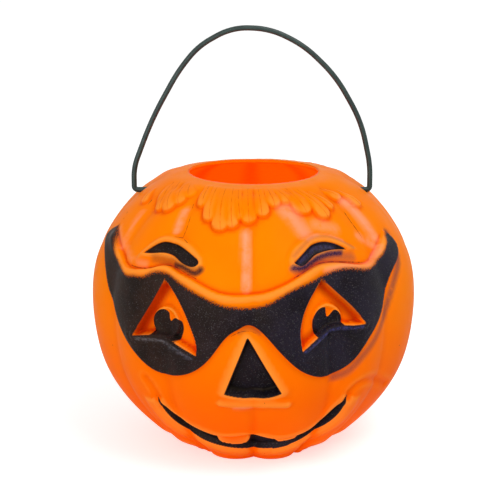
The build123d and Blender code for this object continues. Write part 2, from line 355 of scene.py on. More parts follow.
lower_tooth = outline(
    from_front([(11.2, 12.8), (18.5, 14.6), (26, 15)]),
    from_front([(26, 15), (27.8, 11), (27.6, 5)]),
    from_front([(27.6, 5), (20, 6.2), (13, 7.4)]),
    from_front([(13, 7.4), (11, 9.6), (11.2, 12.8)]),
)

# Folds pressed into the cheeks beyond the ends of the smile
cheek_folds = [
    from_front([(54.9, 47), (57.2, 51.9), (62.8, 55.7), (70.9, 54), (79.4, 45.2)]),
    from_front([(-56, 46.5), (-59.8, 54.3), (-62.8, 58.7)]),
]

# Thin dark lines along some of the creases and edges of the relief
dark_lines = [
    from_front([(-34.8, 158.4), (-36.1, 153.6), (-37.9, 147.7), (-40.1, 142.2)]),
    from_front([(-44.4, 141.6), (-40.4, 141.4), (-37.4, 139.6)]),
    from_front([(49.8, 156.8), (54, 150.5), (59.7, 143), (65.1, 135.2)]),
    from_front([(-62.8, 153.8), (-60, 156.8)]),
    from_front([(-77.7, 144.1), (-75.5, 147.8)]),
    from_front([(-70.6, 123.9), (-61.7, 124.4), (-52.8, 126.6), (-46, 127.2), (-39.4, 125.1),
        (-32.6, 122.5)]),
    from_front([(22.9, 123.7), (31.1, 127.6), (41.2, 130), (50.1, 129.4), (62.2, 127.1)]),
    from_front([(-12.3, 91.8), (-7.8, 94.1), (-3.3, 94.8), (1.2, 93.3)]),
]

# Soft mist where the black spray missed: a line, its half width in millimetres, and how dark it is
mist_lines = [
    (from_front([(-44.1, 127.9), (-38.2, 126.8), (-31.9, 125.5), (-29.6, 127.4)]), 2.9, 1.0),
    (from_front([(-56, 130), (-47, 129.4), (-38.8, 128.2), (-33.1, 126.4)]), 4.6, 0.42),
    (from_front([(21.8, 128.3), (25.8, 127.9), (30.9, 129.6), (36.2, 132.0), (41.5, 133.4),
        (49, 133.6)]), 3.2, 1.0),
    (from_front([(24, 128), (36.2, 131), (46, 132), (55.5, 131)]), 5.5, 0.42),
    (from_front([(22, 134), (33, 141.8), (44, 141.3), (56, 135.5)]), 2.4, 0.28),
    (from_front([(79, 137.5), (83, 130.3), (85.3, 123.5), (83.5, 115.1), (79.7, 104.8),
        (75.3, 91.6)]), 4.4, 0.6),
    (from_front([(75.3, 91.6), (69.3, 80.4), (62.2, 72.6), (52, 64.2), (46, 62.5)]), 4.6, 0.5),
    (from_front([(-8, 93.5), (-3.3, 96), (3, 93.6)]), 2.2, 0.3),
]

# Painted sheen: where the plastic is painted paler and pinker, in place of the lamps' soft reflection
painted_sheen_lines = [
    (from_front([(-4.6, 146), (-4.2, 132), (-4.2, 118)]), 3.6, 1.0),
    (from_front([(18, 157), (24, 151), (28, 146)]), 7.5, 0.8),
    (from_front([(53, 157), (62, 149), (70, 138)]), 6.0, 0.9),
    (from_front([(36, 149), (46, 146)]), 6.0, 0.5),
    (from_front([(-80, 139), (-77, 133), (-70, 127), (-62, 126.4)]), 3.4, 0.4),
    (from_front([(-39.5, 155), (-44, 145)]), 3.2, 0.8),
    (from_front([(-66, 150), (-73, 140), (-77, 131)]), 3.0, 0.5),
    (from_front([(40, 125), (52, 126.5), (64, 125), (72, 131)]), 3.0, 0.6),
    (from_front([(30, 141.5), (38, 143.8), (50, 139.6)]), 2.2, 0.6),
    (from_front([(-10, 46.5), (-3, 46.8)]), 3.0, 0.5),
    (from_front([(60, 140), (72, 132)]), 4.0, 0.6),
]

# Walls of the eyes that lie in shade, and the shine along the lids below them
shaded_walls = [
    (from_front([(-51.5, 116), (-58, 105), (-65.5, 88.5)]), 6.5, 1.0),
    (from_front([(-64, 88), (-52, 90.5)]), 4.0, 0.6),
    (from_front([(39, 118), (47.8, 109.4), (58.5, 98.5)]), 5.5, 0.75),
    (from_front([(29, 88), (35, 92.5)]), 3.5, 0.5),
]
lid_shines = [
    (from_front([(-66, 84), (-57.5, 85), (-50, 84.6), (-43, 81.4), (-35, 77.6)]), 1.6, 1.0),
    (from_front([(25, 131.2), (31, 135.2), (37, 137.8), (45, 137.2)]), 2.6, 0.55),
    (from_front([(28.5, 82.5), (34, 86.4), (40.5, 91.4), (47, 93.4), (54, 92.8), (60.5, 92.4)]), 1.5, 1.0),
]

# The lobes of the leaves: root and tip as degrees round and way up the side, then width and rise in
# millimetres
leaf_lobes = [
    (-70.6, 190, -63.4, 178, 6.5, 1.5), (-61, 198, -47.4, 176.4, 10.5, 2.4),
    (-56.8, 200, -41.8, 177.6, 9.5, 2.6),
    (-50, 201, -38.8, 183, 9, 2.1), (-45.5, 202, -36.8, 190, 10, 1.6),
    (-31.2, 204, -25.4, 183, 8.5, 2.2), (-24.4, 203, -19, 173.6, 9.5, 2.7), (-18, 202, -13.4, 168, 11, 2.9),
    (-13.2, 203, -8.8, 169.8, 8, 2.9), (-10, 203, -5.8, 175, 6.5, 2.6),
    (-3.9, 203, -2.0, 172.4, 9.6, 2.7), (2.9, 202, 3.6, 177.4, 9.6, 2.6), (9.1, 201, 10.2, 185, 9.4, 2.3),
    (14.7, 201, 18.6, 187, 9.5, 2.2), (21.2, 201, 24.8, 177.8, 11.5, 2.7), (28, 199, 33.6, 173.8, 9.5, 2.7),
    (33.2, 197, 39.7, 179.2, 6.5, 2.0), (45.6, 196, 49.4, 184, 8.5, 2.2), (55, 192, 58.5, 176.6, 7, 2.0),
]


def leaf_relief(angle, way, radius):
    """Rise of the leaves over the skin, and how far each place lies inside a lobe and off its middle."""
    rise = np.zeros(len(angle))
    edge = np.full(len(angle), -FAR)
    off_axis = np.zeros(len(angle))
    place = np.nonzero(way > 155)[0]
    a, w, r = angle[place], way[place], radius[place]
    swell = np.zeros(len(place))
    off = np.zeros(len(place))
    rim = np.full(len(place), -FAR)
    for half in (0, 180):
        for root_angle, root_way, tip_angle, tip_way, width, high in leaf_lobes:
            turn = (a - root_angle - half + 180) % 360 - 180
            scale = np.radians(r)
            dx, dy = (tip_angle - root_angle) * scale, tip_way - root_way
            px, py = turn * scale, w - root_way
            run = np.hypot(dx, dy)
            s = (px * dx + py * dy) / (run * run)
            lean = (px * dy - py * dx) / run
            side = np.abs(lean)
            body = width / 2 * (0.62 + 0.42 * ease(s, 0.0, 0.75))
            beyond = np.clip(s * run - (run - width / 2), 0, None)
            behind = np.clip(-s * run, 0, None)
            gap = np.hypot(np.hypot(side, beyond), behind)
            dome = np.sqrt(np.clip(1 - (gap / body) ** 2, 0, 1))
            vein = 0.3 * np.exp(-(side / 0.5) ** 2) * ease(s, 0.05, 0.3) * (1 - ease(s, 0.6, 0.85))
            here = high * (0.25 + 0.75 * dome) * ease(s, -0.25, 0.7) * ease(body - gap, -0.1, 0.7)
            here = here - vein * (gap < body)
            off = np.where(here > swell, lean, off)
            swell = np.maximum(swell, here)
            rim = np.maximum(rim, body - gap)
    behind_mouth = 1 - ease(np.cos(np.radians(a)), -0.7, 0.1)
    plate = leaf_rise * ease(w, 192 - 12 * behind_mouth, 204 - 8 * behind_mouth)
    rise[place] = np.maximum(plate, swell * (1 - ease(w, 199, 211)) + plate * ease(w, 190, 204))
    edge[place] = rim
    off_axis[place] = off
    return rise, edge, off_axis


def face_relief(angle, way, radius):
    """Rise of the face over the skin, the black paint's reach, and the gaps to sharp and to soft detail."""
    def inside(line):
        return reach_to(angle, way, radius, line, "outline")

    def beside(line):
        return reach_to(angle, way, radius, line, "line")

    def gap_to(centre):
        return np.hypot(np.radians(angle - centre[0]) * radius, way - centre[1])

    in_mask = inside(mask)
    from_bead = beside(along(bead_edge))
    tip = np.minimum(gap_to(bead_edge[0]), gap_to(bead_edge[-1]))
    fade = ease(tip, 1.0, 12.0)
    rise = 1.8 * ease(in_mask, -0.2, 0.9) * (0.35 + 0.65 * fade)
    rise += 1.5 * hump(from_bead, 2.9, 3.3) * (in_mask > 0) * fade
    rise -= 0.7 * hump(from_bead, 0.0, 1.8) * fade

    # Brows: a rounded ridge round a sunken slot
    for brow, slot in ((left_brow, left_slot), (right_brow, right_slot)):
        in_brow, in_slot = inside(brow), inside(slot)
        rise += 2.3 * ease(in_brow, -1.6, 2.8)
        rise -= 2.8 * ease(in_slot, -0.8, 0.9)

    # Nose: the cheeks rise to the edge of the pocket, and a sill runs under it
    in_nose = inside(nose)
    flare = (1 - ease(-in_nose, 0.3, 8.0)) * ease(way, 58, 74)
    rise += 2.2 * flare * ((in_mask < 0) | (in_nose > 0))
    sill = beside(along(nose_sill))
    rise += 2.3 * hump(sill, 0, 4.4)

    # Smile: a full lower lip, a fold at each end, and a tooth moulded on the lip
    in_smile = inside(smile)
    from_foot = beside(along(smile_foot))
    from_top = beside(along(smile_top))
    lip = (in_smile <= 0) & (from_foot < from_top)
    rise += 1.5 * ease(from_foot, 0, 3.2) * (1 - ease(from_foot, 6.5, 13)) * lip
    rise += 0.7 * hump(from_top, 2.4, 3.4) * ((in_smile <= 0) & (from_foot > from_top))
    rise += 0.55 * ease(inside(lower_tooth), -0.4, 0.5)
    fold_near = np.full(len(angle), FAR)
    for fold in cheek_folds:
        from_fold = beside(along(fold))
        fold_near = np.minimum(fold_near, from_fold)
        rise += 0.4 * hump(from_fold, 4.6, 3.6) - 0.95 * hump(from_fold, 0, 3.8)

    # A crease runs up the mask under the right eye
    under_eye = beside(from_front([(42, 91), (42.5, 80), (43, 67)]))
    rise -= 1.2 * hump(under_eye, 0, 2.6) * (in_mask > 1)

    # Pockets, sunk through the raised plates
    in_left, in_right = inside(left_eye), inside(right_eye)
    discs = FAR
    for in_eye, lid, iris, heart in (
        (in_left, left_lid, left_iris, left_pupil), (in_right, right_lid, right_iris, right_pupil)
    ):
        from_iris = gap_to(iris)
        disc = 1.5 * (1 - ease(from_iris, 8.6, 9.8)) + 0.7 * hump(from_iris, 8.3, 1.6)
        notch = 0.7 * (1 - ease(from_iris, 6.4, 7.4)) * ease(-inside(heart), -0.1, 0.7)
        sink = ease(in_eye, -0.1, 1.2)
        rise = rise * (1 - sink) + (disc - notch - 3.2) * sink
        lid_gap = beside(along(lid))
        lid_rise = 1.1 * hump(lid_gap, 1.4, 2.6) + 0.5 * hump(lid_gap, 5.6, 2.2)
        rise += lid_rise * (in_eye < 0) * (in_mask > 2)
        discs = np.minimum(discs, np.abs(from_iris - 8.8))
    sink = ease(in_nose, -0.1, 1.0)
    rise = rise * (1 - sink) - 5.0 * sink
    sink = ease(in_smile, -0.1, 0.7)
    rise = rise * (1 - sink) - 3.8 * sink
    teeth = np.maximum(inside(tooth_left), inside(tooth_right))
    show = ease(teeth, -0.1, 0.9) * sink
    rise = rise * (1 - show) - 0.5 * show

    slots = np.maximum(inside(left_slot), inside(right_slot))
    paint = np.maximum.reduce([inside(mask_paint), in_nose + 0.3, slots, in_smile + 0.35])
    eyes = np.maximum(in_left, in_right)
    paint = np.where(eyes > -0.8, np.minimum(paint, -eyes - 0.1), paint)
    hearts = np.maximum(inside(left_pupil), inside(right_pupil))
    paint = np.maximum(paint, np.where(eyes > -1.5, hearts, -FAR))
    paint = np.minimum(paint, -teeth)
    sharp = np.minimum.reduce([
        np.abs(in_mask), from_bead, np.abs(eyes), np.abs(in_nose), np.abs(in_smile), np.abs(teeth),
        np.abs(hearts), np.abs(slots), discs,
    ])
    brows = np.maximum(inside(left_brow), inside(right_brow))
    soft = np.minimum.reduce([np.abs(brows), sill, fold_near, under_eye])
    return rise, paint, sharp, soft


def all_relief(turn, way):
    """Rise over the skin, the paint's reach, gaps to sharp and to soft detail, and depth inside a leaf."""
    angle = warp(turn, way, True)
    radius = skin_radius(turn, way, angle)
    rise, paint, sharp, soft = face_relief(angle, way, radius)
    leaf, leaf_edge, _ = leaf_relief(angle, way, radius)
    return rise + leaf, paint, sharp, soft, leaf_edge


# A level map of the relief, in even steps round and up, for what looks at the neighbours of a place
map_turn = 0.45
map_way = 0.8
map_columns = int(360 / map_turn)
map_rows = int(mouth_way / map_way) + 1
map_turns = -180 + map_turn * np.arange(map_columns)
map_ways = map_way * np.arange(map_rows)


def read_map(level, turn, way):
    """Reads a map between its steps."""
    x = (turn + 180) / map_turn
    y = np.clip(way / map_way, 0, map_rows - 1.001)
    column, row = np.floor(x).astype(int), np.floor(y).astype(int)
    u, v = x - column, y - row
    left, right = column % map_columns, (column + 1) % map_columns
    low = level[row, left] * (1 - u) + level[row, right] * u
    high = level[row + 1, left] * (1 - u) + level[row + 1, right] * u
    return low * (1 - v) + high * v


def blurred(level, width):
    """A map blurred over a width in millimetres."""
    up = np.exp(-0.5 * ((map_ways[:, None] - map_ways[None]) / width) ** 2)
    level = up @ level / up.sum(1, keepdims=True)
    waves = np.fft.rfftfreq(map_columns, math.radians(map_turn))
    radius = np.maximum(up_the_side(map_ways, profile[:, 0]), 30)
    damp = np.exp(-2 * (math.pi * waves[None] * (width / radius)[:, None]) ** 2)
    return np.fft.irfft(np.fft.rfft(level, axis=1) * damp, map_columns, axis=1)


def lowest_near(level, reach):
    """The lowest value of a map within a reach in millimetres."""
    lowest = level.copy()
    per_column = np.radians(map_turn) * np.maximum(up_the_side(map_ways, profile[:, 0]), 30)
    steps = int(reach / map_way)
    columns_at = np.arange(map_columns)[None]
    rows_at = np.arange(map_rows)
    for up in range(-steps, steps + 1):
        moved = level[np.clip(rows_at + up, 0, map_rows - 1)]
        across = math.sqrt(max(reach ** 2 - (up * map_way) ** 2, 0))
        for share in np.linspace(-1, 1, 9):
            shift = np.round(share * across / per_column).astype(int)[:, None]
            turned = np.take_along_axis(moved, (columns_at + shift) % map_columns, axis=1)
            lowest = np.minimum(lowest, turned)
    return lowest


grid_turn, grid_way = [level.ravel() for level in np.meshgrid(map_turns, map_ways)]
grid_angle = warp(grid_turn, grid_way, True)
rise_map = all_relief(grid_turn, grid_way)[0].reshape(map_rows, map_columns)
dip = skin_radius(grid_turn, grid_way, grid_angle) - up_the_side(grid_way, profile[:, 0])
relief_map = rise_map + dip.reshape(map_rows, map_columns)
# Painted shade and highlight: the relief less blurred copies of itself, dark in hollows and pale on ridges
near_shade = relief_map - blurred(relief_map, 1.5)
wide_shade = relief_map - blurred(relief_map, 4.5)
shade_map = 0.6 * near_shade + 0.6 * np.clip(wide_shade, -0.55, 0.8)
inner_map = blurred(lowest_near(np.minimum(rise_map, 0), 5.0), 0.9)

# The sheet: columns round the pumpkin, rows up the outside, over the cut edge and down the inside
columns = 240
outer_rows = 98
edge_rows = 2
inner_rows = 62
rows = outer_rows + edge_rows + inner_rows


def deselect_all():
    for item in bpy.context.selected_objects:
        item.select_set(False)


def select_only(obj, kind, chosen):
    """Selects some of a mesh's vertices or faces, and nothing else of it."""
    mesh = obj.data
    for name, items in (("vertices", mesh.vertices), ("edges", mesh.edges), ("polygons", mesh.polygons)):
        items.foreach_set("select", chosen if name == kind else np.zeros(len(items), bool))


def values_of(items, name, width):
    """One property of all the vertices or faces, a row each."""
    values = np.empty(len(items) * width)
    items.foreach_get(name, values)
    return values.reshape(-1, width)


def way_of(row):
    return np.clip(row, 0, outer_rows) / outer_rows * mouth_way


deselect_all()
bpy.ops.mesh.primitive_grid_add(x_subdivisions=columns, y_subdivisions=rows, size=2, location=(0, 0, 0))
pail = bpy.context.object
pail.name = "pumpkin_shell"
pail.data.name = "pumpkin_shell"
bpy.ops.object.mode_set(mode="EDIT")
bpy.ops.transform.resize(value=(180, rows / 2, 1))
bpy.ops.transform.translate(value=(0, rows / 2, 0))
bpy.ops.object.mode_set(mode="OBJECT")

# Finer where the detail is: first near any of it, then near what is sharp
for sharp_reach, soft_reach, leaf_reach in ((3.6, 3.2, 20.0), (1.0, -1.0, 0.8)):
    centre = values_of(pail.data.polygons, "center", 3)
    turn, row = centre[:, 0], centre[:, 1]
    rise, paint, sharp, soft, leaf_edge = all_relief(turn, way_of(row))
    leafy = (leaf_edge > -1.0) & (leaf_edge < leaf_reach) & (np.abs(turn) < 90)
    chosen = (row < outer_rows) & ((sharp < sharp_reach) | (soft < soft_reach) | leafy)
    select_only(pail, "polygons", chosen)
    bpy.ops.object.mode_set(mode="EDIT")
    bpy.ops.mesh.subdivide(number_cuts=1, smoothness=0)
    bpy.ops.object.mode_set(mode="OBJECT")

# The flat sheet is drawn onto the pumpkin: the outside, the cut edge of the mouth and the inside
flat = values_of(pail.data.vertices, "co", 3)
turn, row = flat[:, 0].copy(), flat[:, 1].copy()
way = way_of(row)
angle = warp(turn, way, True)
rise, paint, _, _, leaf_edge = all_relief(turn, way)
outer = place_on_skin(turn, way, rise)
outer[:, 2] = np.minimum(outer[:, 2], body_height + leaf_rise - top_gap)

inner_way = np.clip((rows - row) / inner_rows, 0, 1) * mouth_way
plate = leaf_rise * ease(inner_way, 200, 212)
inner = place_on_skin(turn, inner_way, read_map(inner_map, turn, inner_way) + plate - cut_edge)
inner_radius = np.hypot(inner[:, 0], inner[:, 1])
widen = np.where((inner[:, 2] > 150) & (inner_radius < mouth_radius), mouth_radius / inner_radius, 1)
inner[:, :2] *= widen[:, None]
inner[:, 2] = np.maximum(inner[:, 2], wall)

share = np.clip((row - outer_rows) / edge_rows, 0, 1)
is_edge = (row > outer_rows) & (row < outer_rows + edge_rows)
front = np.clip(np.cos(np.radians(angle)), 0, 1)
lip = np.stack([
    mouth_radius * np.sin(np.radians(angle)),
    -mouth_radius * np.cos(np.radians(angle)),
    body_height + leaf_rise - top_gap - rim_dip * front - share * cut_edge,
], axis=1)
solid = np.where((row <= outer_rows)[:, None], outer, np.where(is_edge[:, None], lip, inner)) * MILLIMETRE
pail_low, pail_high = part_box("pail_shell")
solid = np.clip(solid, np.array(pail_low), np.array(pail_high))
pail.data.vertices.foreach_set("co", solid.ravel())


def spots(lines, angle, way, radius):
    """How strongly some soft-edged lines cover each place."""
    strongest = np.zeros(len(angle))
    for line, half, strength in lines:
        gap = reach_to(angle, way, radius, along(line), "line")
        strongest = np.maximum(strongest, strength * hump(gap, 0, half))
    return strongest


# What the materials read: each is nothing where it is 0
vein_side = leaf_relief(angle, way, skin_radius(turn, way, angle))[2]
radius = skin_radius(turn, way, angle)
outside = row <= outer_rows
dark_line_side = np.full(len(turn), FAR)
for line in dark_lines:
    side = reach_to(angle, way, radius, along(line), "side")
    dark_line_side = np.where(np.abs(side) < np.abs(dark_line_side), side, dark_line_side)
marks = {
    "black_paint": np.clip(paint, -paint_offset, paint_offset) + paint_offset,
    "fuzzy_edge": hump(reach_to(angle, way, radius, along(paint_edge), "line"), 0, 7),
    "mist": spots(mist_lines, angle, way, radius),
    "painted_sheen": spots(painted_sheen_lines, angle, way, radius),
    "dark_line_side": np.clip(dark_line_side, -3, 3),
    "dark_line_near": np.clip(1 - np.abs(dark_line_side) / 2, 0, 1),
    "painted_shade_and_highlight": read_map(shade_map, turn, way),
    "vein_side": np.clip(vein_side, -3, 3),
    "on_leaf": ease(leaf_edge, 0.2, 1.2) * (1 - ease(way, 199, 206)),
    "painted_shade_under_leaf": hump(leaf_edge, -0.3, 1.9) * (np.abs(turn) < 90) * (1 - ease(way, 182, 194)),
    "pocket_shade": spots(shaded_walls, angle, way, radius),
    "lid_shine": spots(lid_shines, angle, way, radius),
}
for name, values in marks.items():
    mark = pail.data.attributes.new(name, "FLOAT", "POINT")
    mark.data.foreach_set("value", np.where(outside, values, 0).astype(np.float32))
inside_glow_and_tint = pail.data.attributes.new("inside", "FLOAT", "POINT")
# Painted shade inside: the inside glow and tint are weaker along the creases
crease_shade_inside = 1 - 0.55 * hump((turn + 15) % 30 - 15, 1.5, 7.5)
inside_glow_and_tint.data.foreach_set("value", (crease_shade_inside * (row > outer_rows + edge_rows)).astype(np.float32))

# The seam up the back is welded, and the base and the floor inside are closed
bpy.ops.object.mode_set(mode="EDIT")
bpy.ops.mesh.select_all(action="SELECT")
bpy.ops.mesh.remove_doubles(threshold=seam_gap)
bpy.ops.mesh.select_mode(type="VERT")
bpy.ops.mesh.select_all(action="DESELECT")
bpy.ops.mesh.select_non_manifold()
bpy.ops.object.mode_set(mode="OBJECT")
loose = values_of(pail.data.vertices, "select", 1)[:, 0] > 0
height = values_of(pail.data.vertices, "co", 3)[:, 2]
for low, high in ((-0.001, 0.001), (0.0015, 0.004)):
    select_only(pail, "vertices", loose & (height > low) & (height < high))
    bpy.ops.object.mode_set(mode="EDIT")
    bpy.ops.mesh.edge_face_add()
    bpy.ops.object.mode_set(mode="OBJECT")
bpy.ops.object.mode_set(mode="EDIT")
bpy.ops.mesh.select_all(action="SELECT")
bpy.ops.mesh.normals_make_consistent(inside=False)
bpy.ops.object.mode_set(mode="OBJECT")

# The holes that the handle turns in, through both shoulders
deselect_all()
bpy.ops.mesh.primitive_cylinder_add(
    vertices=32, radius=hole_radius * MILLIMETRE, depth=2 * body_radius * MILLIMETRE,
    location=(0, 0, hinge_height * MILLIMETRE), rotation=(0, math.pi / 2, 0),
)
drill = bpy.context.object
deselect_all()
pail.select_set(True)
bpy.context.view_layer.objects.active = pail
cut = pail.modifiers.new("handle_holes", "BOOLEAN")
cut.operation = "DIFFERENCE"
cut.solver = "EXACT"
cut.object = drill
bpy.ops.object.modifier_apply(modifier=cut.name)
bpy.data.objects.remove(drill)
bpy.ops.object.mode_set(mode="EDIT")
bpy.ops.mesh.select_all(action="SELECT")
bpy.ops.mesh.dissolve_degenerate(threshold=sliver)
bpy.ops.object.mode_set(mode="OBJECT")
bpy.ops.object.shade_smooth()

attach(pail, "pail")
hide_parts("pail_shell")


# ---- Materials ----
def new_material(name):
    material = bpy.data.materials.new(name)
    material.use_nodes = True
    tree = material.node_tree
    return material, tree, tree.nodes["Principled BSDF"]


def mark_value(tree, name):
    """The value of one of the piece's own marks."""
    node = tree.nodes.new("ShaderNodeAttribute")
    node.attribute_name = name
    return node.outputs["Fac"]


def place_in(tree):
    return tree.nodes.new("ShaderNodeTexCoord").outputs["Object"]


def speckle(tree, scale, detail=3.0, roughness=0.6):
    """A noise over the object; scale is in features to the metre."""
    node = tree.nodes.new("ShaderNodeTexNoise")
    node.inputs["Scale"].default_value = scale
    node.inputs["Detail"].default_value = detail
    node.inputs["Roughness"].default_value = roughness
    tree.links.new(place_in(tree), node.inputs["Vector"])
    return node.outputs["Fac"]


def from_to(tree, value, low, high, to_low=0.0, to_high=1.0, smooth=True):
    """Turns a value from one range to another."""
    node = tree.nodes.new("ShaderNodeMapRange")
    node.interpolation_type = "SMOOTHSTEP" if smooth else "LINEAR"
    for name, number in (("From Min", low), ("From Max", high), ("To Min", to_low), ("To Max", to_high)):
        node.inputs[name].default_value = number
    tree.links.new(value, node.inputs["Value"])
    return node.outputs["Result"]


def reckon(tree, operation, first, second, clamp=False):
    """One sum on two values; either may be a number."""
    node = tree.nodes.new("ShaderNodeMath")
    node.operation = operation
    node.use_clamp = clamp
    for socket, value in zip(node.inputs, (first, second)):
        if isinstance(value, (int, float)):
            socket.default_value = value
        else:
            tree.links.new(value, socket)
    return node.outputs["Value"]


def blend_colour(tree, amount, first, second):
    """Two colours blended by an amount; either may be plain."""
    node = tree.nodes.new("ShaderNodeMix")
    node.data_type = "RGBA"
    tree.links.new(amount, node.inputs["Factor"])
    for name, colour in (("A", first), ("B", second)):
        if isinstance(colour, tuple):
            node.inputs[name].default_value = (*colour, 1)
        else:
            tree.links.new(colour, node.inputs[name])
    return node.outputs["Result"]


def bumped(tree, shader, height, strength, distance):
    node = tree.nodes.new("ShaderNodeBump")
    node.inputs["Strength"].default_value = strength
    node.inputs["Distance"].default_value = distance
    tree.links.new(height, node.inputs["Height"])
    tree.links.new(node.outputs["Normal"], shader.inputs["Normal"])


def axis_of(tree, name):
    parts = tree.nodes.new("ShaderNodeSeparateXYZ")
    tree.links.new(place_in(tree), parts.inputs[0])
    return parts.outputs[name]


def orange_colour(tree):
    """Yellow orange, deeper low down and in the hollows as painted shade, paler on ridges as a painted
    highlight, with a painted pink sheen; painted shade too along the veins and under the leaves.
    """
    # Painted shade: the orange deepens towards the foot
    painted_low_shade = from_to(tree, axis_of(tree, "Z"), 0.015, 0.125)
    colour = blend_colour(tree, painted_low_shade, (1.0, 0.125, 0.0), (1.0, 0.225, 0.0))
    cloud = from_to(tree, speckle(tree, 26, 2), 0.35, 0.7)
    colour = blend_colour(tree, reckon(tree, "MULTIPLY", cloud, 0.3), colour, (1.0, 0.175, 0.0))
    # Painted shade in the hollows and a painted highlight on the ridges
    relief = mark_value(tree, "painted_shade_and_highlight")
    colour = blend_colour(tree, from_to(tree, relief, -0.08, -1.3, 0.0, 0.9), colour, (0.74, 0.045, 0.0))
    colour = blend_colour(tree, from_to(tree, relief, 0.1, 0.9, 0.0, 0.6), colour, (1.0, 0.33, 0.045))
    # Painted shade: a darker line down the vein grooves of the leaves
    line = from_to(tree, reckon(tree, "ABSOLUTE", mark_value(tree, "vein_side"), 0), 0.45, 0.05)
    line = reckon(tree, "MULTIPLY", line, from_to(tree, speckle(tree, 260, 2), 0.3, 0.65, 0.05, 0.5))
    line = reckon(tree, "MULTIPLY", line, mark_value(tree, "on_leaf"))
    colour = blend_colour(tree, line, colour, (0.60, 0.050, 0.0))
    # Painted shade just beyond the edges of the leaves, under their raised lobes
    painted_shade_under_leaf = reckon(tree, "MULTIPLY", mark_value(tree, "painted_shade_under_leaf"), 0.5)
    colour = blend_colour(tree, painted_shade_under_leaf, colour, (0.84, 0.065, 0.0))
    colour = blend_colour(tree, mark_value(tree, "pocket_shade"), colour, (0.46, 0.028, 0.0))
    # Painted sheen: pale pink patches laid where the lamps' reflection falls
    patchy = from_to(tree, speckle(tree, 120, 4), 0.2, 0.6)
    painted_sheen = reckon(tree, "MULTIPLY", mark_value(tree, "painted_sheen"), patchy)
    colour = blend_colour(tree, reckon(tree, "MULTIPLY", painted_sheen, 0.9), colour, (1.0, 0.36, 0.20))
    return blend_colour(tree, mark_value(tree, "inside"), colour, (1.0, 0.20, 0.0))


def black_colour(tree):
    """Sprayed black: brown to the left, blue to the right, dusty, the dust specks also serving as a painted
    sheen; with a painted shine along the lids and painted shade in the hollows.
    """
    across = from_to(tree, axis_of(tree, "X"), -0.075, 0.03)
    cloud = from_to(tree, speckle(tree, 45, 3), 0.3, 0.7)
    warm = blend_colour(tree, cloud, (0.004, 0.002, 0.002), (0.024, 0.011, 0.008))
    cold = blend_colour(tree, cloud, (0.002, 0.002, 0.006), (0.010, 0.009, 0.020))
    colour = blend_colour(tree, across, warm, cold)
    # Pale dust specks, which also stand in for a painted sheen on the paint
    dust_and_sheen = from_to(tree, speckle(tree, 1500, 2), 0.57, 0.72, 0.0, 0.55)
    colour = blend_colour(tree, dust_and_sheen, colour, (0.10, 0.095, 0.10))
    shine_colour = blend_colour(tree, across, (0.13, 0.12, 0.12), (0.050, 0.050, 0.17))
    uneven = from_to(tree, speckle(tree, 700, 2), 0.3, 0.7, 0.1, 0.9)
    shine = reckon(tree, "MULTIPLY", mark_value(tree, "lid_shine"), uneven)
    colour = blend_colour(tree, shine, colour, shine_colour)
    # Painted shade: near black in the hollows of the paint
    hollow_shade = from_to(tree, mark_value(tree, "painted_shade_and_highlight"), -0.45, -1.2, 0.0, 0.9)
    return blend_colour(tree, hollow_shade, colour, (0.001, 0.001, 0.001))


